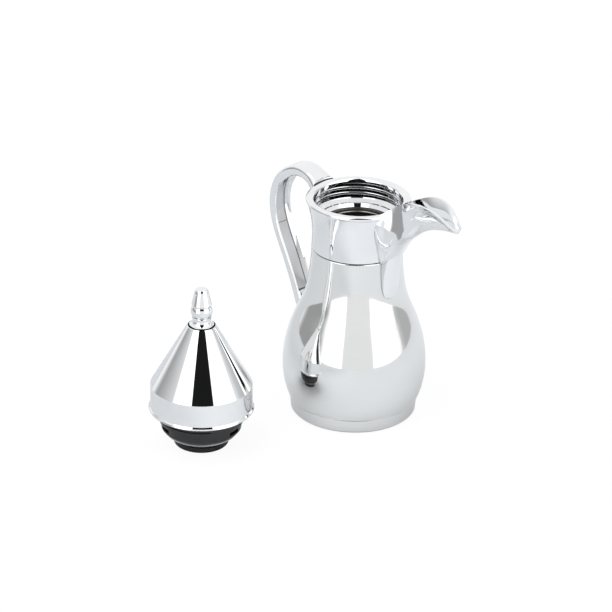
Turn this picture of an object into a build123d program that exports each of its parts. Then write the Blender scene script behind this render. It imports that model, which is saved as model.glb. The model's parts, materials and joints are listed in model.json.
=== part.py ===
"""Vacuum dallah: a coffee pot with a beaked spout, a looped handle and a cone lid with a push valve.

The pot stands at the origin with its spout along +X and its handle along -X.
The lid stands on its stopper beside the pot. All sizes are in millimetres, +Z is up.
"""

import math
import os

from build123d import *

# Driving sizes of the pot
FOOT_RADIUS = 56.9
FOOT_TOP = 13.0
SEAM_Z = 157.0
RIM_RADIUS = 46.0
RIM_Z = 204.2
MOUTH_RADIUS = 38.5
SHEET = 1.0
SEAM_GAP = 0.8

# Driving sizes of the flask
FLASK_BASE_Z = 14.5
FLASK_MOUTH_Z = 178.5
FLASK_MOUTH_RADIUS = 26.0
FLASK_LIP_RADIUS = 30.0
FLASK_SHEET = 0.8

# Driving sizes of the spout
SPOUT_WALL = 1.7
WINDOW_LOW = 188.0
WINDOW_HIGH = 197.5
WINDOW_WIDTH = 17.0
TONGUE_HALF_WIDTH = 10.0

# Driving sizes of the handle
HANDLE_WIDTH = 20.2
HANDLE_THICKNESS = 9.8
HANDLE_ROUND = 3.4
ROOT_WIDTHS = [29.0, 27.4, 24.4, 21.4, 20.2]
CHANNEL_MOUTH = 18.2
CHANNEL_FLOOR = 11.4
CHANNEL_DEPTH = 6.7
STRIP_THICKNESS = 1.2
CHANNEL_START = 0.11
CHANNEL_END = 0.9
STRIP_SEAM = 0.569
STRIP_GAP = 0.0026
UPPER_SCREW_Z = 198.0
LOWER_SCREW_Z = 82.0

# Driving sizes of the lid, with heights above the table
LID_X = -42.2
LID_Y = -146.5
LIP_RADIUS = 46.2
LIP_Z = 33.6
CREASE_RADIUS = 44.5
CREASE_Z = 56.8
CONE_TOP_RADIUS = 12.8
CONE_TOP_Z = 113.4
LID_HOLE_RADIUS = 12.0
LID_WALL = 1.5
PLATE_Z = 35.2
CUP_RADIUS = 24.0
STEP_RADIUS = 35.1
FLANGE_RADIUS = 37.0
THREAD_HEIGHT = 1.0
SEAL_RADIUS = 31.5
BUTTON_TRAVEL = 3.0
ROD_RADIUS = 3.0
ROD_HOLE = 3.3

# Outer outlines as (radius, height)
BODY_OUTLINE = [(57.6, 13.0), (62.3, 28.0), (63.8, 48.0), (60.9, 70.0), (54.4, 90.0), (46.2, 110.0),
                (42.2, 130.0), (40.5, 148.0), (40.3, 156.0)]
COLLAR_OUTLINE = [(40.3, 157.8), (39.9, 168.0), (40.6, 180.0), (42.3, 190.0), (45.2, 200.0)]
FLASK_OUTLINE = [(36.0, 14.5), (51.5, 21.0), (58.0, 36.0), (58.8, 50.0), (56.0, 70.0), (49.4, 90.0),
                 (41.4, 110.0), (37.4, 130.0), (35.6, 150.0), (33.0, 162.0), (30.0, 171.0)]
FLASK_CORE = [(32.0, 19.0), (47.0, 25.0), (53.4, 38.0), (54.2, 50.0), (51.4, 70.0), (44.8, 90.0),
              (36.8, 110.0), (33.0, 130.0), (31.2, 148.0), (28.6, 160.0), (26.0, 170.0)]


# ---------------------------------------------------------------- shared helpers

def turned(*edges):
    """A solid turned about the Z axis from a closed outline in the XZ plane."""
    return revolve(Plane.XZ * make_face(edges), Axis.Z)


def turned_polygon(*points):
    """A turned solid with straight sides."""
    return revolve(Plane.XZ * make_face(Polyline(*points, close=True)), Axis.Z)


def disc(radius, low, high, x=0.0, y=0.0):
    """An upright cylinder from one height to another."""
    return Pos(x, y, (low + high) / 2) * Cylinder(radius, high - low)


def ring(outer, inner, low, high):
    """A plain upright ring."""
    return disc(outer, low, high) - disc(inner, low - 1, high + 1)


def thinned(outline, wall):
    """The same outline moved towards the axis by a wall."""
    return [(r - wall, z) for r, z in outline]


def slab(low, high):
    """A box from its lowest corner to its highest."""
    size = [b - a for a, b in zip(low, high)]
    middle = [(a + b) / 2 for a, b in zip(low, high)]
    return Pos(*middle) * Box(*size)


def on_lid(shape):
    """Moves a shape from the lid's own axis to where the lid stands."""
    return Pos(LID_X, LID_Y, 0) * shape


# ---------------------------------------------------------------- pot: foot and base

def foot_ring():
    """Plated ring that the bulb stands in, with a ledge under the bulb."""
    return turned_polygon((53.2, 0.4), (55.2, 0.4), (55.9, 1.1), (FOOT_RADIUS, FOOT_TOP - 0.7),
                          (56.5, FOOT_TOP), (49.5, FOOT_TOP), (49.5, 11.0), (53.2, 11.0))


def base_cover():
    """Black cover screwed up into the foot, with two finger notches."""
    cup = turned_polygon((0, 1.6), (52.4, 1.6), (52.9, 2.1), (52.9, 11.0), (50.9, 11.0), (50.9, 3.6),
                         (0, 3.6))
    for side in (-1, 1):
        cup -= Pos(0, side * 50.4, 2.0) * Box(9.0, 3.2, 1.6)
    return cup


def base_pad():
    """Rubber pad that rests on the table."""
    return disc(48.0, 0.0, 1.6)


def flask_cushion():
    """Rubber cup that holds the flask off the base cover."""
    return turned_polygon((5.0, 3.6), (38.0, 3.6), (38.0, 12.0), (35.0, FLASK_BASE_Z), (5.0, FLASK_BASE_Z))


# ---------------------------------------------------------------- pot: body and flask

def outer_body():
    """Bulb of thin steel, turned in at the bottom, with a hole for the lower handle screw."""
    inner = thinned(BODY_OUTLINE, SHEET)
    inner[0] = (56.8, 14.0)
    low_r, low_z = BODY_OUTLINE[0]
    top_r, top_z = BODY_OUTLINE[-1]
    inner[-1] = (top_r - SHEET, SEAM_Z)
    rolled_r = top_r - 0.9
    shell = turned(Spline(*BODY_OUTLINE),
                   ThreePointArc((top_r, top_z), (top_r - 0.25, SEAM_Z - 0.35), (rolled_r, SEAM_Z)),
                   Line((rolled_r, SEAM_Z), inner[-1]), Spline(*inner),
                   Line(inner[0], (50.5, 14.0)), Line((50.5, 14.0), (50.5, low_z)),
                   Line((50.5, low_z), (low_r, low_z)))
    return shell - lower_screw_hole()


def flask_outer_wall():
    """Outer wall of the vacuum flask, with its flat bottom."""
    inner = thinned(FLASK_OUTLINE, FLASK_SHEET)
    inner[0] = (35.6, 15.3)
    shelf = FLASK_MOUTH_Z - FLASK_SHEET
    lip = FLASK_LIP_RADIUS
    return turned(Spline(*FLASK_OUTLINE), Line(FLASK_OUTLINE[-1], (lip, shelf)),
                  Line((lip, shelf), (lip - FLASK_SHEET, shelf)), Line((lip - FLASK_SHEET, shelf), inner[-1]),
                  Spline(*inner), Line(inner[0], (2.0, 15.3)), Line((2.0, 15.3), (2.0, FLASK_BASE_Z)),
                  Line((2.0, FLASK_BASE_Z), FLASK_OUTLINE[0]))


def vacuum_seal():
    """Tip that closes the hole the flask was evacuated through."""
    return disc(2.0, FLASK_BASE_Z, 15.3) + disc(4.0, 12.9, FLASK_BASE_Z)


def flask_inner_wall():
    """Inner wall of the flask, which holds the coffee, with the turned-out lip of the mouth."""
    outer = [(r + FLASK_SHEET, z) for r, z in FLASK_CORE]
    outer[0] = (32.4, 18.2)
    lip_under = FLASK_MOUTH_Z - FLASK_SHEET
    return turned(Spline(*FLASK_CORE), Line(FLASK_CORE[-1], (FLASK_MOUTH_RADIUS, FLASK_MOUTH_Z - 0.6)),
                  Line((FLASK_MOUTH_RADIUS, FLASK_MOUTH_Z - 0.6), (FLASK_MOUTH_RADIUS + 0.6, FLASK_MOUTH_Z)),
                  Line((FLASK_MOUTH_RADIUS + 0.6, FLASK_MOUTH_Z), (FLASK_LIP_RADIUS, FLASK_MOUTH_Z)),
                  Line((FLASK_LIP_RADIUS, FLASK_MOUTH_Z), (FLASK_LIP_RADIUS, lip_under)),
                  Line((FLASK_LIP_RADIUS, lip_under), (FLASK_MOUTH_RADIUS + FLASK_SHEET, lip_under)),
                  Line((FLASK_MOUTH_RADIUS + FLASK_SHEET, lip_under), outer[-1]),
                  Spline(*outer), Line(outer[0], (0, 18.2)), Line((0, 18.2), (0, 19.0)),
                  Line((0, 19.0), FLASK_CORE[0]))


def mouth_gasket():
    """Silicone ring that laps over the flask's lip and seals it to the collar liner."""
    lip = FLASK_MOUTH_Z
    return turned_polygon((FLASK_LIP_RADIUS, 172.0), (32.4, 172.0), (32.4, lip + 0.4), (30.8, lip + 0.4),
                          (30.8, lip + 1.4), (28.2, lip + 1.4), (27.6, lip + 0.8), (27.6, lip),
                          (FLASK_LIP_RADIUS, lip))


def neck_ring():
    """Black ring that joins the bulb to the collar and shows as the dark seam between them."""
    return turned_polygon((36.9, 149.0), (38.7, 149.0), (38.7, SEAM_Z), (39.3, SEAM_Z),
                          (39.3, SEAM_Z + SEAM_GAP), (38.7, SEAM_Z + SEAM_GAP), (38.7, 170.0), (36.9, 170.0))


# ---------------------------------------------------------------- pot: collar, liner and rim

def window():
    """Opening through the collar and its liner, into the spout."""
    return slab((30.0, -WINDOW_WIDTH / 2, WINDOW_LOW), (48.0, WINDOW_WIDTH / 2, WINDOW_HIGH))


def rim_edges(last_z):
    """Outline of the rolled rim from the top of the neck over to the mouth, ending at a height."""
    return [ThreePointArc(COLLAR_OUTLINE[-1], (RIM_RADIUS, 202.0), (44.6, 203.7)),
            Spline((44.6, 203.7), (42.6, RIM_Z), (40.2, 203.5), (MOUTH_RADIUS, 201.6)),
            Line((MOUTH_RADIUS, 201.6), (MOUTH_RADIUS, last_z))]


def collar():
    """Waisted plated neck shell with its broad rolled rim."""
    inner = thinned(COLLAR_OUTLINE, SHEET)
    rim_low = COLLAR_OUTLINE[-1][1]
    shell = turned(Spline(*COLLAR_OUTLINE), *rim_edges(rim_low), Line((MOUTH_RADIUS, rim_low), inner[-1]),
                   Spline(*inner), Line(inner[0], COLLAR_OUTLINE[0]))
    return shell - window() - upper_screw_hole()


def collar_liner():
    """Inner neck that the stopper screws into, with a sloping floor round the flask's mouth."""
    liner = turned_polygon((MOUTH_RADIUS, 200.0), (MOUTH_RADIUS, 186.6), (37.8, 185.9), (34.3, 183.7),
                           (34.0, 182.7), (31.0, 180.2), (31.0, 178.9), (32.8, 178.9), (39.5, 184.6),
                           (39.5, 200.0))
    return liner - window()


def pot_solid():
    """The pot's outside from foot to rim as one solid, which trims the spout and the handle."""
    return turned(Line((0, FOOT_TOP), BODY_OUTLINE[0]), Spline(*BODY_OUTLINE),
                  Line(BODY_OUTLINE[-1], COLLAR_OUTLINE[0]), Spline(*COLLAR_OUTLINE), *rim_edges(190.0),
                  Line((MOUTH_RADIUS, 190.0), (0, 190.0)), Line((0, 190.0), (0, FOOT_TOP)))


# ---------------------------------------------------------------- pot: spout

def across(x):
    """A plane square to the spout, with Y to the right and Z up."""
    return Plane(origin=(x, 0, 0), x_dir=(0, 1, 0), z_dir=(1, 0, 0))


def beak_section(x, top, shoulder, cheek, ridge, bottom):
    """A cross-section of the beak: sides from the top edges over a cheek to a ridge, a rounded keel below."""
    outline = [top, shoulder, cheek, ridge]
    sides = [Spline(*[(s * w, h) for w, h in outline]) for s in (-1, 1)]
    keel = Spline((-ridge[0], ridge[1]), (0, bottom), ridge)
    return across(x) * make_face([sides[0], keel, sides[1], Line(top, (-top[0], top[1]))])


def beak_outside():
    """The beak as a solid, from inside the collar to the tip."""
    sections = [
        beak_section(36.0, (19.6, 202.5), (18.8, 196.0), (16.4, 181.0), (12.0, 157.0), 149.0),
        beak_section(42.0, (14.2, 205.5), (17.2, 199.0), (16.8, 184.0), (12.4, 159.6), 153.0),
        beak_section(48.0, (8.8, 210.9), (12.4, 202.6), (14.6, 187.0), (13.9, 168.4), 162.0),
        beak_section(55.0, (6.8, 215.6), (9.6, 206.6), (12.3, 193.4), (14.0, 180.5), 173.0),
        beak_section(62.0, (7.6, 219.4), (8.9, 210.6), (10.9, 199.4), (13.0, 188.0), 181.6),
        beak_section(70.0, (10.0, 223.4), (9.3, 215.2), (9.9, 205.6), (11.0, 195.6), 189.2),
        beak_section(80.0, (12.8, 226.3), (10.4, 219.4), (9.2, 212.6), (9.3, 205.8), 197.4),
        beak_section(90.0, (12.7, 226.5), (10.3, 220.9), (8.9, 215.8), (8.4, 210.2), 202.6),
        beak_section(100.0, (10.7, 223.9), (8.9, 219.9), (7.8, 216.2), (7.3, 212.5), 205.6),
        beak_section(110.0, (7.9, 217.6), (6.8, 215.7), (6.1, 214.0), (5.7, 212.2), 207.4),
        beak_section(117.5, (4.9, 212.4), (4.5, 211.8), (4.1, 211.1), (3.8, 210.5), 208.2),
    ]
    return loft(sections)


def beak_inside():
    """The trough that the coffee runs along, open above."""
    wall = SPOUT_WALL
    sections = [
        beak_section(41.0, (8.6, 207.5), (9.4, 201.0), (8.6, 195.0), (6.6, 190.2), 187.8),
        beak_section(48.0, (7.2, 212.0), (7.4, 204.6), (7.2, 197.0), (6.2, 190.4), 187.8),
        beak_section(55.0, (5.2, 216.6), (5.7, 208.0), (6.0, 199.4), (5.5, 191.4), 188.4),
        beak_section(62.0, (6.0, 220.4), (5.7, 212.0), (5.5, 203.0), (5.0, 194.6), 190.0),
        beak_section(70.0, (8.4, 224.4), (6.5, 216.0), (5.5, 207.2), (4.8, 198.8), 193.0),
        beak_section(80.0, (11.2, 227.3), (7.5, 220.2), (5.1, 213.0), (4.2, 205.8), 200.0),
        beak_section(90.0, (11.1, 227.5), (7.6, 221.8), (5.2, 216.2), (3.9, 210.4), 205.0),
        beak_section(100.0, (9.1, 224.9), (6.5, 221.0), (4.7, 217.2), (3.7, 213.2), 208.0),
        beak_section(110.0, (6.3, 218.6), (4.8, 216.8), (3.7, 215.0), (3.1, 213.2), 209.6),
        beak_section(118.5, (2.9, 212.8), (2.7, 212.2), (2.5, 211.8), (2.3, 211.3), 210.0),
    ]
    return loft(sections)


def tongue_section(z, front, half_width):
    """A level cross-section of the tongue, with a rounded front."""
    corner = front - 0.33 * half_width
    return Plane.XY.offset(z) * make_face([
        Line((30.0, half_width), (30.0, -half_width)), Line((30.0, -half_width), (corner, -half_width)),
        ThreePointArc((corner, -half_width), (front, 0), (corner, half_width)),
        Line((corner, half_width), (30.0, half_width))])


def tongue():
    """The root of the spout, which runs down over the seam onto the bulb and ends round."""
    half = TONGUE_HALF_WIDTH
    return loft([tongue_section(122.6, 44.9, 0.5 * half), tongue_section(124.0, 45.2, 0.74 * half),
                 tongue_section(127.0, 45.5, 0.9 * half), tongue_section(132.0, 45.8, 0.98 * half),
                 tongue_section(140.0, 46.0, half), tongue_section(150.0, 47.0, half),
                 tongue_section(157.0, 48.2, 0.96 * half), tongue_section(165.0, 49.8, 0.68 * half)])


def spout(trim):
    """The plated beak with its tongue, open to the window in the collar."""
    return beak_outside() + tongue() - beak_inside() - trim - disc(42.0, 185.0, 240.0)


# ---------------------------------------------------------------- pot: handle

def handle_path():
    """Centre line of the handle's loop, from the rim down to the shoulder of the bulb."""
    return Plane.XZ * Spline((-38.0, 195.0), (-50.0, 204.3), (-63.0, 208.9), (-76.7, 205.8), (-88.0, 197.0),
                             (-95.0, 185.0), (-97.7, 171.0), (-95.7, 155.7), (-89.8, 140.4), (-82.0, 125.4),
                             (-74.6, 110.4), (-68.4, 96.5), (-63.7, 84.5), (-59.0, 74.0))


def square_to_handle(share):
    """A plane square to the handle's centre line, with X along its width and Y into the loop."""
    path = handle_path()
    return Plane(origin=path @ share, x_dir=(0, 1, 0), z_dir=path % share)


def swept(outline, start, end):
    """A bar of one section along part of the handle."""
    return sweep(square_to_handle(start) * outline, path=handle_path().trim(start, end))


def handle_section(width):
    """The handle's full section, with rounded edges."""
    return RectangleRounded(width, HANDLE_THICKNESS, HANDLE_ROUND)


def handle_root():
    """The handle's upper end, solid and flared towards the rim."""
    places = [square_to_handle(CHANNEL_START * i / 4) for i in range(5)]
    return loft([place * handle_section(width) for place, width in zip(places, ROOT_WIDTHS)])


def handle_shell(trim):
    """Plated loop with a channel along its inside, flared at the rim and solid where the screws hold."""
    front = HANDLE_THICKNESS / 2
    floor = front - CHANNEL_DEPTH
    mouth, foot = CHANNEL_MOUTH / 2, CHANNEL_FLOOR / 2
    channel = make_face(Polyline((-foot, floor), (foot, floor), (mouth, front), (mouth, front + 1),
                                 (-mouth, front + 1), (-mouth, front), close=True))
    loop = swept(handle_section(HANDLE_WIDTH) - channel, CHANNEL_START, CHANNEL_END)
    whole = handle_root() + loop + swept(handle_section(HANDLE_WIDTH), CHANNEL_END, 1.0)
    return whole - trim - disc(45.0, 190.0, 240.0) - lower_screw_hole() - upper_screw_hole()


def handle_strip(start, end):
    """Part of the strip along the channel's floor."""
    floor = HANDLE_THICKNESS / 2 - CHANNEL_DEPTH
    outline = Pos(0, floor + STRIP_THICKNESS / 2) * Rectangle(CHANNEL_FLOOR - 0.1, STRIP_THICKNESS)
    return swept(outline, start, end)


def level_rod(radius, outer_x, inner_x, z):
    """A level cylinder along X between two places on the handle's side."""
    return Pos((outer_x + inner_x) / 2, 0, z) * Rot(0, 90, 0) * Cylinder(radius, inner_x - outer_x)


def upper_screw_hole():
    """Hole for the upper handle screw, through the collar."""
    return level_rod(1.3, -48.0, -40.6, UPPER_SCREW_Z)


def lower_screw_hole():
    """Hole for the lower handle screw, through the bulb."""
    return level_rod(1.6, -66.0, -52.0, LOWER_SCREW_Z)


def handle_screws():
    """The two screws that hold the handle, put in from inside the pot's shell."""
    upper = level_rod(1.3, -48.0, -42.2, UPPER_SCREW_Z) + level_rod(1.9, -42.2, -41.0, UPPER_SCREW_Z)
    lower = level_rod(1.6, -66.0, -55.2, LOWER_SCREW_Z) + level_rod(2.8, -55.2, -54.0, LOWER_SCREW_Z)
    return Compound(children=[upper.solids()[0], lower.solids()[0]])


# ---------------------------------------------------------------- lid: cone and button

def lid_cone():
    """Plated cone with a short upright band and a flared lip, and a hole in its top for the button."""
    w = LID_WALL
    return on_lid(turned_polygon(
        (LIP_RADIUS - 2.0, LIP_Z), (LIP_RADIUS - 0.3, LIP_Z), (LIP_RADIUS, LIP_Z + 0.6),
        (LIP_RADIUS - 0.3, LIP_Z + 1.5), (LIP_RADIUS - 1.3, LIP_Z + 2.8), (CREASE_RADIUS, CREASE_Z),
        (CONE_TOP_RADIUS, CONE_TOP_Z - 0.5), (CONE_TOP_RADIUS - 0.4, CONE_TOP_Z),
        (LID_HOLE_RADIUS, CONE_TOP_Z), (LID_HOLE_RADIUS, CONE_TOP_Z - 2.2),
        (CREASE_RADIUS - w, CREASE_Z - 0.6), (LIP_RADIUS - 2.7, LIP_Z + 4.0)))


def button():
    """Finial that is pressed to pour: a rounded bullet over a bead and a flared skirt."""
    return on_lid(turned(
        Line((0, 148.2), (2.0, 148.2)),
        Spline((2.0, 148.2), (5.2, 146.8), (6.6, 143.0), tangents=((1, 0), (0.13, -1))),
        Line((6.6, 143.0), (8.8, 133.4)), Line((8.8, 133.4), (8.0, 132.7)), Line((8.0, 132.7), (7.8, 131.8)),
        ThreePointArc((7.8, 131.8), (9.5, 126.8), (7.9, 121.8)), Line((7.9, 121.8), (8.6, 121.2)),
        Line((8.6, 121.2), (8.5, 120.2)), Line((8.5, 120.2), (7.6, 119.4)),
        Spline((7.6, 119.4), (8.6, 116.2), (10.8, 114.4)), Line((10.8, 114.4), (10.8, 112.6)),
        Line((10.8, 112.6), (9.4, 112.6)), Line((9.4, 112.6), (9.4, 98.0)), Line((9.4, 98.0), (0, 98.0)),
        Line((0, 98.0), (0, 148.2))))


def button_guide():
    """Black sleeve inside the cone's top that the button slides in and the spring stands on."""
    return on_lid(turned_polygon((9.7, 107.8), (9.7, 84.0), (ROD_HOLE, 84.0), (ROD_HOLE, 81.5),
                                 (26.8, 81.5), (26.8, 83.5), (11.7, 84.5), (11.7, 107.8)))


def push_rod():
    """Rod from the button down to the valve."""
    return on_lid(disc(ROD_RADIUS, 5.4, 98.0))


def return_spring():
    """Coil spring that lifts the button and shuts the valve."""
    coil_radius = 6.4
    wire_radius = 0.6
    low = 84.0 + wire_radius + 0.1
    high = 98.0 - wire_radius - 0.1
    path = Pos(0, 0, low) * Helix(pitch=(high - low) / 5, height=high - low, radius=coil_radius)
    start = Plane(origin=path @ 0, z_dir=path % 0)
    return on_lid(sweep(start * Circle(wire_radius), path=path, is_frenet=True))


def lid_insulation():
    """Foam block that fills the cone."""
    return on_lid(turned_polygon((4.5, 38.2), (42.0, 38.2), (42.0, 55.2), (28.0, 80.6), (4.5, 80.6)))


def lid_base_plate():
    """Black plate that closes the cone and carries the stopper."""
    plate = ring(43.4, ROD_HOLE, PLATE_Z, PLATE_Z + 2.6)
    for x, y in screw_places():
        plate -= disc(1.3, PLATE_Z - 1, PLATE_Z + 4, x, y)
    return on_lid(plate)


def rim_gasket():
    """Soft ring under the lip that seats on the pot's rim."""
    return on_lid(ring(43.4, 39.0, LIP_Z + 0.1, PLATE_Z))


# ---------------------------------------------------------------- lid: stopper and valve

def screw_places():
    """Centres of the three stopper screws, about the lid's axis."""
    return [(14.0 * math.cos(math.radians(a)), 14.0 * math.sin(math.radians(a))) for a in (90, 210, 330)]


def thread_lug(start_angle, sweep_angle, low):
    """One raised run of the stopper's thread, part of the way round its flange."""
    whole = ring(FLANGE_RADIUS + THREAD_HEIGHT, FLANGE_RADIUS - 0.4, low, low + 2.0)
    reach = 60.0
    angles = [math.radians(start_angle + sweep_angle * i / 4) for i in range(5)]
    edge = [(reach * math.cos(angle), reach * math.sin(angle)) for angle in angles]
    wedge = Plane.XY * make_face(Polyline((0, 0), *edge, close=True))
    return whole & extrude(wedge, reach)


def stopper_body():
    """Black stopper: a cup that enters the flask, a stepped flange with thread lugs, and pour slots."""
    body = turned_polygon(
        (21.8, 0.6), (22.2, 0.0), (23.6, 0.0), (CUP_RADIUS, 0.6), (CUP_RADIUS, 4.6), (23.4, 5.0), (23.4, 6.0),
        (CUP_RADIUS, 6.4), (CUP_RADIUS, 10.4), (28.0, 10.4), (28.0, 11.3), (31.2, 11.3), (33.6, 13.4),
        (STEP_RADIUS, 15.4), (STEP_RADIUS, 21.4), (FLANGE_RADIUS, 22.2), (FLANGE_RADIUS, PLATE_Z),
        (ROD_HOLE, PLATE_Z), (ROD_HOLE, 33.0), (33.4, 33.0), (33.4, 19.0), (27.0, 14.6), (21.8, 13.4),
        (21.8, 7.6), (18.6, 7.6), (18.6, 5.8), (21.8, 5.8))
    for number in range(3):
        body += thread_lug(20 + 120 * number, 70, 24.4)
        body += thread_lug(50 + 120 * number, 70, 28.6)
    for number in range(3):
        slot = Pos(34.0, 0, 18.6) * Box(7.0, 13.0, 3.4)
        body -= Rot(0, 0, 13 + 120 * number) * slot
    for x, y in screw_places():
        body -= disc(1.3, 32.0, 37.0, x, y)
    return on_lid(body)


def stopper_seal():
    """Pale silicone ring under the flange, which seals on the flask's mouth."""
    return on_lid(turned_polygon((28.0, 10.4), (31.2, 10.4), (SEAL_RADIUS, 10.8), (31.2, 11.3), (28.0, 11.3)))


def valve_disc():
    """Disc on the rod's end that shuts the cup from below."""
    return on_lid(turned_polygon((0, 3.6), (19.4, 3.6), (20.4, 4.2), (20.4, 4.9), (ROD_RADIUS + 1.5, 4.9),
                                 (ROD_RADIUS + 1.5, 5.4), (0, 5.4)))


def valve_seal():
    """Silicone washer between the valve disc and its seat."""
    return on_lid(ring(20.2, 16.0, 4.9, 5.7))


def stopper_screws():
    """Three screws that hold the stopper to the lid's base plate."""
    screws = []
    for x, y in screw_places():
        screw = disc(1.3, 33.0, 38.0, x, y) + disc(2.6, 31.4, 33.0, x, y)
        screws.append(on_lid(screw).solids()[0])
    return Compound(children=screws)


def make_parts():
    """Every piece by its node's name."""
    trim = pot_solid()
    return {
        "foot_ring": foot_ring(), "base_cover": base_cover(), "base_pad": base_pad(),
        "flask_cushion": flask_cushion(), "outer_body": outer_body(), "flask_outer_wall": flask_outer_wall(),
        "flask_inner_wall": flask_inner_wall(), "vacuum_seal": vacuum_seal(), "mouth_gasket": mouth_gasket(),
        "neck_ring": neck_ring(), "collar": collar(), "collar_liner": collar_liner(),
        "spout": spout(trim), "handle_shell": handle_shell(trim),
        "handle_strip_upper": handle_strip(CHANNEL_START + STRIP_GAP, STRIP_SEAM - STRIP_GAP / 2),
        "handle_strip_lower": handle_strip(STRIP_SEAM + STRIP_GAP / 2, CHANNEL_END - STRIP_GAP),
        "handle_screws": handle_screws(),
        "lid_cone": lid_cone(), "lid_base_plate": lid_base_plate(), "lid_insulation": lid_insulation(),
        "rim_gasket": rim_gasket(), "button": button(), "button_guide": button_guide(),
        "push_rod": push_rod(), "return_spring": return_spring(), "stopper_body": stopper_body(),
        "stopper_seal": stopper_seal(), "valve_disc": valve_disc(), "valve_seal": valve_seal(),
        "stopper_screws": stopper_screws(),
    }


os.makedirs("parts", exist_ok=True)
for node, shape in make_parts().items():
    export_step(shape, f"parts/{node}.step")
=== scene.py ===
"""Looks of the vacuum dallah: plated collar, spout, handle and lid over a polished steel bulb."""

import json
import math

import bpy
from mathutils import Matrix, Vector


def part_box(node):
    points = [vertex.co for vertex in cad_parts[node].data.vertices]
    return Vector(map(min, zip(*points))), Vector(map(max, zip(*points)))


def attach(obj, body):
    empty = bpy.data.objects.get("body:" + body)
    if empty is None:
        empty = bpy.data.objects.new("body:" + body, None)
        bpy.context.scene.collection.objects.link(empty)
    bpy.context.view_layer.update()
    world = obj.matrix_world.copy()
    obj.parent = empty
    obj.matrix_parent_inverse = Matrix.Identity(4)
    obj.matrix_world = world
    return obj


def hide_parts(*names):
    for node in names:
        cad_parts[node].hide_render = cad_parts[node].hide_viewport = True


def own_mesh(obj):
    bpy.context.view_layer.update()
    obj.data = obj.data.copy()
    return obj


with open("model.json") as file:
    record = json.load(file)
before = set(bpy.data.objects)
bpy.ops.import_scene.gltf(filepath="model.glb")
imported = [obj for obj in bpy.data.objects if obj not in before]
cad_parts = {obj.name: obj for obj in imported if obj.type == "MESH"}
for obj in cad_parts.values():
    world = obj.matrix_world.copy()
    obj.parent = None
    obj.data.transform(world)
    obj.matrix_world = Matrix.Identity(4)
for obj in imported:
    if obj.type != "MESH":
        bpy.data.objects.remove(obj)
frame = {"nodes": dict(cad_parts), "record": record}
bpy.context.view_layer.update()

NODES = frame["nodes"]
MICRON = 0.000001

# Camera: where it stands, in metres, and how it is turned
CAMERA_AT = Vector((1.6572, -1.7192, 1.2686))
CAMERA_AZIMUTH = math.radians(45.0)
CAMERA_PITCH = math.radians(26.14)
CAMERA_ROLL = math.radians(1.134)
CAMERA_LENS = 176.5

# The mouth's thread, in metres: how far it runs down the liner's wall, and how soon it fades at its low end
THREAD_RUN = 0.013
THREAD_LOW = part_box("collar_liner")[1].z - THREAD_RUN
THREAD_FADE = 0.001
THREAD_PITCH = 0.0052
THREAD_DEPTH = 0.0004

# Painted shade in the metal's joints: how near a neighbour darkens it, in metres, and how dark it gets
CREASE_SHADE_REACH = 0.0022
CREASE_SHADE_TONE = (0.10, 0.10, 0.105)

# ---------------------------------------------------------------- node graph helpers


class Graph:
    """Makes and links shader nodes in one node tree."""

    def __init__(self, tree):
        self.tree = tree
        tree.nodes.clear()

    def node(self, kind, inputs=None, **settings):
        """A new node with its properties set and its sockets fed."""
        made = self.tree.nodes.new(kind)
        for name, value in settings.items():
            setattr(made, name, value)
        for name, value in (inputs or {}).items():
            self.feed(made.inputs[name], value)
        return made

    def feed(self, socket, value):
        """Links a socket's source to it, or sets its constant."""
        if isinstance(value, bpy.types.NodeSocket):
            self.tree.links.new(value, socket)
        else:
            socket.default_value = value

    def math(self, operation, first, second=0.0):
        return self.node("ShaderNodeMath", {0: first, 1: second}, operation=operation).outputs[0]

    def towards(self, first, second, share):
        """A value moved by a share of the way to a second value."""
        gap = self.math("SUBTRACT", second, first)
        return self.math("ADD", first, self.math("MULTIPLY", gap, share))

    def weighed(self, first, share, second):
        """A sum of two values, the first by its share and the second by the rest."""
        first_part = self.math("MULTIPLY", first, share)
        second_part = self.math("MULTIPLY", second, 1.0 - share)
        return self.math("ADD", first_part, second_part)

    def ramp(self, value, low, high, to_low=0.0, to_high=1.0, smooth=False):
        """Maps a value from one range onto another, clamped."""
        made = self.node("ShaderNodeMapRange", {"Value": value, "From Min": low, "From Max": high,
                                                "To Min": to_low, "To Max": to_high})
        made.interpolation_type = "SMOOTHSTEP" if smooth else "LINEAR"
        return made.outputs["Result"]

    def mix(self, share, first, second):
        """A mix of two colours."""
        made = self.node("ShaderNodeMix", data_type="RGBA")
        self.feed(made.inputs[0], share)
        self.feed(made.inputs[6], first)
        self.feed(made.inputs[7], second)
        return made.outputs[2]

    def noise(self, where, scale, detail=3.0, roughness=0.5):
        made = self.node("ShaderNodeTexNoise", {"Vector": where, "Scale": scale, "Detail": detail,
                                                "Roughness": roughness})
        return made.outputs["Fac"]

    def bump(self, height, depth, strength=1.0, normal=None):
        """A surface normal tilted by a height, over an earlier normal if there is one."""
        made = self.node("ShaderNodeBump", {"Height": height, "Strength": strength, "Distance": depth})
        if normal is not None:
            self.feed(made.inputs["Normal"], normal)
        return made.outputs[0]

    def place(self, factors=(1.0, 1.0, 1.0)):
        """The object's own coordinates, stretched along each axis."""
        where = self.node("ShaderNodeTexCoord").outputs["Object"]
        return self.node("ShaderNodeMapping", {"Vector": where, "Scale": factors}).outputs["Vector"]

    def axes(self, vector):
        """The x, y and z of a vector."""
        return self.node("ShaderNodeSeparateXYZ", {"Vector": vector}).outputs

    def ray(self, kind):
        """1 where the ray is of this kind, and 0 elsewhere."""
        return self.node("ShaderNodeLightPath").outputs[kind]


def opaque(colour):
    """A colour with full alpha, as a socket wants it."""
    return (*colour, 1.0)


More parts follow.
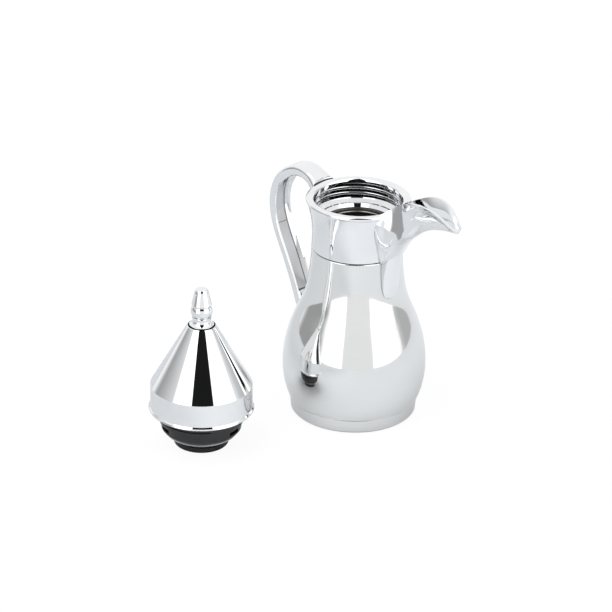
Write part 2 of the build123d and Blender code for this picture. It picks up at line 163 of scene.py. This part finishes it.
def new_material(name):
    """A material with an empty node tree, as (material, graph, output node)."""
    made = bpy.data.materials.new(name)
    made.use_nodes = True
    graph = Graph(made.node_tree)
    output = graph.node("ShaderNodeOutputMaterial")
    return made, graph, output


# ---------------------------------------------------------------- metals


def finish_metal(g, output, colour, roughness, normal):
    """Gives a material's output a bare metal surface."""
    shader = g.node("ShaderNodeBsdfPrincipled", {
        "Base Color": colour, "Metallic": 1.0, "Roughness": roughness, "Normal": normal})
    g.feed(output.inputs["Surface"], shader.outputs[0])


def crease_shaded(g, colour):
    """A metal colour with painted shade: darkened in joints and creases where a neighbour is near."""
    depth = g.node("ShaderNodeAmbientOcclusion", {"Distance": CREASE_SHADE_REACH}, samples=8)
    unshaded_share = g.ramp(depth.outputs["AO"], 0.4, 0.9, smooth=True)
    return g.mix(unshaded_share, opaque(CREASE_SHADE_TONE), colour)


def plating(name, dark, light, smoothest, roughest, wave):
    """Mirror plating: faint haze patches, hairline scratches and a gentle wave in the sheet."""
    made, g, output = new_material(name)
    haze = g.noise(g.place(), 38.0, 4.0, 0.6)
    hairs = g.noise(g.place((1.0, 1.0, 9.0)), 900.0, 2.0)
    wipe = g.ramp(g.weighed(haze, 0.7, hairs), 0.35, 0.65)
    # painted shade: the colour darkens in joints and creases where a neighbour is near
    colour = crease_shaded(g, g.mix(wipe, opaque(dark), opaque(light)))
    roughness = g.ramp(wipe, 0.0, 1.0, roughest, smoothest)
    ripple = g.bump(g.noise(g.place(), 45.0, 1.0), wave)
    scratched = g.bump(hairs, 0.6 * MICRON, 0.5, ripple)
    finish_metal(g, output, colour, roughness, scratched)
    return made


def thread_height(g, place):
    """1 on the crest of the mouth's thread, and 0 between its turns and below its end."""
    x, y, z = g.axes(place)
    climb = g.math("DIVIDE", z, THREAD_PITCH)
    turn = g.math("DIVIDE", g.math("ARCTAN2", y, x), math.tau)
    wave = g.math("SINE", g.math("MULTIPLY", g.math("SUBTRACT", climb, turn), math.tau))
    crest = g.ramp(wave, -0.1, 0.9, smooth=True)
    wall = g.ramp(z, THREAD_LOW, THREAD_LOW + THREAD_FADE, smooth=True)
    return g.math("MULTIPLY", crest, wall)


def threaded_plating(name, dark, light, smoothest, roughest):
    """Mirror plating on the mouth's wall, with a shallow rounded thread for the stopper's lugs."""
    made, g, output = new_material(name)
    place = g.place()
    haze = g.noise(place, 40.0, 4.0, 0.6)
    colour = g.mix(g.ramp(haze, 0.3, 0.7), opaque(dark), opaque(light))
    roughness = g.ramp(haze, 0.3, 0.7, roughest, smoothest)
    thread = g.bump(thread_height(g, place), THREAD_DEPTH)
    ripple = g.bump(g.noise(place, 60.0, 1.0), 30 * MICRON, normal=thread)
    finish_metal(g, output, colour, roughness, ripple)
    return made


def turned_steel(name, dark, light, smoothest, roughest, groove):
    """Finely polished steel with faint polishing rings round the axis."""
    made, g, output = new_material(name)
    rings = g.noise(g.place((3.0, 3.0, 1500.0)), 1.0, 3.0, 0.6)
    cloud = g.noise(g.place(), 22.0, 4.0, 0.55)
    tone = g.ramp(g.weighed(rings, 0.45, cloud), 0.3, 0.7)
    # painted shade: the colour darkens in joints and creases where a neighbour is near
    colour = crease_shaded(g, g.mix(tone, opaque(dark), opaque(light)))
    roughness = g.ramp(tone, 0.0, 1.0, roughest, smoothest)
    finish_metal(g, output, colour, roughness, g.bump(rings, groove, 0.6))
    return made


# ---------------------------------------------------------------- plastic, rubber and foam


def moulded(name, dark, light, smoothest, roughest, grain_scale, grain_depth):
    """Moulded plastic or rubber with a fine grain and slightly uneven gloss."""
    made, g, output = new_material(name)
    cloud = g.noise(g.place(), 60.0, 4.0, 0.6)
    grain = g.noise(g.place(), grain_scale, 3.0, 0.7)
    colour = g.mix(g.ramp(cloud, 0.3, 0.7), opaque(dark), opaque(light))
    roughness = g.ramp(g.weighed(cloud, 0.6, grain), 0.3, 0.7, smoothest, roughest)
    shader = g.node("ShaderNodeBsdfPrincipled", {
        "Base Color": colour, "Roughness": roughness, "Normal": g.bump(grain, grain_depth, 0.7)})
    g.feed(output.inputs["Surface"], shader.outputs[0])
    return made


# ---------------------------------------------------------------- finishes of the record's slots

MATERIALS = {
    "plated_chrome": plating(
        "chrome_plating", dark=(0.84, 0.85, 0.86), light=(0.90, 0.905, 0.91),
        smoothest=0.015, roughest=0.05, wave=12 * MICRON),
    "plated_strip": plating(
        "satin_plating", dark=(0.50, 0.50, 0.52), light=(0.60, 0.60, 0.61),
        smoothest=0.10, roughest=0.18, wave=10 * MICRON),
    "plated_liner": threaded_plating(
        "liner_plating", dark=(0.72, 0.73, 0.74), light=(0.84, 0.84, 0.85), smoothest=0.02, roughest=0.06),
    "body_steel": turned_steel(
        "polished_steel", dark=(0.79, 0.79, 0.785), light=(0.84, 0.84, 0.835),
        smoothest=0.05, roughest=0.09, groove=0.6 * MICRON),
    "flask_steel": turned_steel(
        "drawn_steel", dark=(0.30, 0.27, 0.24), light=(0.42, 0.39, 0.36),
        smoothest=0.22, roughest=0.38, groove=3 * MICRON),
    "screw_steel": turned_steel(
        "bright_steel", dark=(0.50, 0.50, 0.51), light=(0.62, 0.62, 0.63),
        smoothest=0.18, roughest=0.30, groove=2 * MICRON),
    "black_plastic": moulded(
        "black_polypropylene", dark=(0.006, 0.006, 0.007), light=(0.014, 0.014, 0.015),
        smoothest=0.16, roughest=0.30, grain_scale=1400.0, grain_depth=6 * MICRON),
    "white_plastic": moulded(
        "white_polypropylene", dark=(0.62, 0.62, 0.60), light=(0.74, 0.74, 0.72),
        smoothest=0.35, roughest=0.5, grain_scale=1200.0, grain_depth=10 * MICRON),
    "matte_black": moulded(
        "textured_black", dark=(0.010, 0.010, 0.011), light=(0.022, 0.022, 0.023),
        smoothest=0.5, roughest=0.7, grain_scale=900.0, grain_depth=30 * MICRON),
    "rubber_pad": moulded(
        "matt_rubber", dark=(0.012, 0.012, 0.012), light=(0.03, 0.03, 0.03),
        smoothest=0.6, roughest=0.85, grain_scale=700.0, grain_depth=30 * MICRON),
    "dark_gasket": moulded(
        "dark_silicone", dark=(0.008, 0.008, 0.008), light=(0.02, 0.02, 0.02),
        smoothest=0.35, roughest=0.55, grain_scale=1100.0, grain_depth=10 * MICRON),
    "pale_silicone": moulded(
        "pale_silicone", dark=(0.36, 0.36, 0.35), light=(0.48, 0.48, 0.47),
        smoothest=0.4, roughest=0.6, grain_scale=1100.0, grain_depth=10 * MICRON),
    "foam": moulded(
        "closed_cell_foam", dark=(0.62, 0.60, 0.52), light=(0.78, 0.76, 0.70),
        smoothest=0.8, roughest=0.95, grain_scale=500.0, grain_depth=300 * MICRON),
}


def dress(obj, slot):
    """Gives every face of an object the look of one of the record's slots."""
    for entry in obj.material_slots:
        entry.material = MATERIALS[slot]


for subpart in frame["record"]["subparts"]:
    dress(NODES[subpart["node"]], subpart["material_slot"])

# ---------------------------------------------------------------- return spring


def make_spring():
    """The return spring again, as a separate piece with its own mesh, carried by the lid."""
    spring = bpy.data.objects.new("return_spring_coil", NODES["return_spring"].data.copy())
    bpy.context.scene.collection.objects.link(spring)
    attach(spring, "lid")
    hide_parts("return_spring")
    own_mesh(spring)


make_spring()

# ---------------------------------------------------------------- camera

right = Vector((math.cos(CAMERA_AZIMUTH), math.sin(CAMERA_AZIMUTH), 0))
away = Vector((-math.sin(CAMERA_AZIMUTH), math.cos(CAMERA_AZIMUTH), 0))


def make_camera():
    """The camera that took the photograph, pitched down and rolled a little."""
    up = Vector((0, 0, 1))
    forward = away * math.cos(CAMERA_PITCH) - up * math.sin(CAMERA_PITCH)
    upward = away * math.sin(CAMERA_PITCH) + up * math.cos(CAMERA_PITCH)
    image_right = right * math.cos(CAMERA_ROLL) + upward * math.sin(CAMERA_ROLL)
    image_up = upward * math.cos(CAMERA_ROLL) - right * math.sin(CAMERA_ROLL)
    lens = bpy.data.cameras.new("photo_camera")
    lens.lens = CAMERA_LENS
    lens.sensor_width = 36.0
    lens.clip_start = 0.05
    lens.clip_end = 100.0
    camera = bpy.data.objects.new("photo_camera", lens)
    turned = Matrix((image_right, image_up, -forward)).transposed().to_4x4()
    camera.matrix_world = Matrix.Translation(CAMERA_AT) @ turned
    bpy.context.scene.collection.objects.link(camera)
    bpy.context.scene.camera = camera


make_camera()

# ---------------------------------------------------------------- floor

# The floor is a disc, in metres, shifted away from the camera. Seen directly, it mostly glows
FLOOR_RADIUS = 1.35
FLOOR_SHIFT = 0.6
FLOOR_SIDES = 96
FLOOR_GLOW = 0.93

# Its colour in mirrors, painted greyer than seen directly and darker on the left as painted shade; it
# changes between two distances to the right of the pot
MIRRORED_LEFT = (0.55, 0.565, 0.58)
MIRRORED_RIGHT = (0.70, 0.715, 0.73)
CHANGE_FROM = -0.30
CHANGE_TO = -0.05


def floor_mesh():
    """A flat disc."""
    rim = []
    for step in range(FLOOR_SIDES):
        turn = math.tau * step / FLOOR_SIDES
        rim.append(Vector((math.cos(turn), math.sin(turn), 0)) * FLOOR_RADIUS + away * FLOOR_SHIFT)
    mesh = bpy.data.meshes.new("floor")
    mesh.from_pydata(rim, [], [tuple(range(FLOOR_SIDES))])
    return mesh


def sheet_material():
    """White sheet, nearly pure white seen directly; in mirrors it shows a painted grey, darker on the left
    as painted shade.
    """
    made, g, output = new_material("white_sheet")
    cloud = g.noise(g.place(), 3.0, 4.0)
    x, y, z = g.axes(g.place())
    to_right = g.math("ADD", g.math("MULTIPLY", x, right.x), g.math("MULTIPLY", y, right.y))
    side = g.ramp(to_right, CHANGE_FROM, CHANGE_TO, smooth=True)
    # painted reflection: mirrors see the sheet greyer than it is, darker to the left as painted shade
    painted_mirror_tone = g.mix(side, opaque(MIRRORED_LEFT), opaque(MIRRORED_RIGHT))
    direct = g.mix(cloud, (0.96, 0.96, 0.96, 1.0), (0.98, 0.98, 0.98, 1.0))
    shader = g.node("ShaderNodeBsdfPrincipled", {
        "Base Color": g.mix(g.ray("Is Glossy Ray"), direct, painted_mirror_tone),
        "Roughness": g.ramp(cloud, 0.0, 1.0, 0.8, 0.95), "Specular IOR Level": 0.1})
    glow = g.node("ShaderNodeEmission", {"Color": (1.0, 1.0, 1.0, 1.0), "Strength": 1.0})
    both = g.node("ShaderNodeMixShader", {"Fac": g.math("MULTIPLY", g.ray("Is Camera Ray"), FLOOR_GLOW)})
    g.feed(both.inputs[1], shader.outputs[0])
    g.feed(both.inputs[2], glow.outputs[0])
    g.feed(output.inputs["Surface"], both.outputs[0])
    return made


def make_floor():
    """A round pale sheet that the pot and the lid stand on."""
    floor = bpy.data.objects.new("floor", floor_mesh())
    bpy.context.scene.collection.objects.link(floor)
    floor.data.materials.append(sheet_material())


make_floor()

# ---------------------------------------------------------------- studio

# Bearings are in degrees round the pot, 0 towards the camera and positive to its right
SLIT_LEFT = -20.0
SLIT_RIGHT = 30.0
SLIT_FLOOR = 24.0
SLIT_TONE = 0.012
SLIT_EDGE = 0.8
UNDER_SLIT_TONE = 0.93
PANEL_TONE = 1.9
LEFT_SIDE_TONE = 0.38
RIGHT_SIDE_TONE = 0.52
TENT_COLOUR = (0.985, 0.992, 1.0)


def band(g, bearing, low, high, edge):
    """1 between two bearings, falling off over an edge on both sides."""
    rise = g.ramp(bearing, low - edge, low + edge, smooth=True)
    fall = g.ramp(bearing, high - edge, high + edge, 1.0, 0.0, smooth=True)
    return g.math("MULTIPLY", rise, fall)


def directions(g):
    """The bearing and the height of a direction, in degrees."""
    x, y, z = g.axes(g.node("ShaderNodeTexCoord").outputs["Generated"])
    to_right = g.math("ADD", g.math("MULTIPLY", x, right.x), g.math("MULTIPLY", y, right.y))
    to_camera = g.math("SUBTRACT", g.math("MULTIPLY", x, right.y), g.math("MULTIPLY", y, right.x))
    bearing = g.math("MULTIPLY", g.math("ARCTAN2", to_right, to_camera), math.degrees(1.0))
    height = g.math("MULTIPLY", g.math("ARCSINE", z), math.degrees(1.0))
    return bearing, height


def tent_tone(g, bearing, height):
    """How bright the tent is: panels beside the slit, greyer sides low down, and the slit itself."""
    low_down = g.ramp(height, 4.0, 36.0, 1.0, 0.0, smooth=True)
    tone = 1.0
    # Each band: its two bearings, the width of its soft edge, its tone and how much of it shows
    for low, high, edge, value, share in (
            (-64.0, SLIT_LEFT, 3.0, PANEL_TONE, 1.0),
            (SLIT_RIGHT, 84.0, 20.0, PANEL_TONE, 1.0),
            (-118.0, -56.0, 9.0, LEFT_SIDE_TONE, low_down),
            (84.0, 140.0, 14.0, RIGHT_SIDE_TONE, low_down)):
        inside = g.math("MULTIPLY", band(g, bearing, low, high, edge), share)
        tone = g.towards(tone, value, inside)
    slit = band(g, bearing, SLIT_LEFT, SLIT_RIGHT, SLIT_EDGE)
    slit_tone = g.ramp(height, SLIT_FLOOR - 2.0, SLIT_FLOOR + 2.0, UNDER_SLIT_TONE, SLIT_TONE)
    return g.towards(tone, slit_tone, slit)


def make_world():
    """A white tent with a dark slit for the camera. Seen directly it is plain white."""
    world = bpy.data.worlds.new("tent")
    bpy.context.scene.world = world
    world.use_nodes = True
    g = Graph(world.node_tree)
    bearing, height = directions(g)
    strength = g.towards(tent_tone(g, bearing, height), 1.0, g.ray("Is Camera Ray"))
    light = g.node("ShaderNodeBackground", {"Color": opaque(TENT_COLOUR), "Strength": strength})
    output = g.node("ShaderNodeOutputWorld")
    g.feed(output.inputs["Surface"], light.outputs[0])


make_world()

KEY_SIDE = 1.6
KEY_WATTS = 14.0
KEY_AT = Vector((-0.5, -0.9, 1.7))
KEY_AIM = Vector((0, 0, 0.1))


def make_key():
    """One broad soft lamp above, which grounds the pot with a faint shadow."""
    lamp = bpy.data.lights.new("key", "AREA")
    lamp.shape = "RECTANGLE"
    lamp.size = KEY_SIDE
    lamp.size_y = KEY_SIDE
    lamp.energy = KEY_WATTS
    key = bpy.data.objects.new("key", lamp)
    key.location = KEY_AT
    key.rotation_mode = "QUATERNION"
    key.rotation_quaternion = (KEY_AIM - KEY_AT).to_track_quat("-Z", "Y")
    key.visible_glossy = False
    bpy.context.scene.collection.objects.link(key)


make_key()

bpy.context.scene.view_settings.view_transform = "Standard"

bpy.context.view_layer.update()
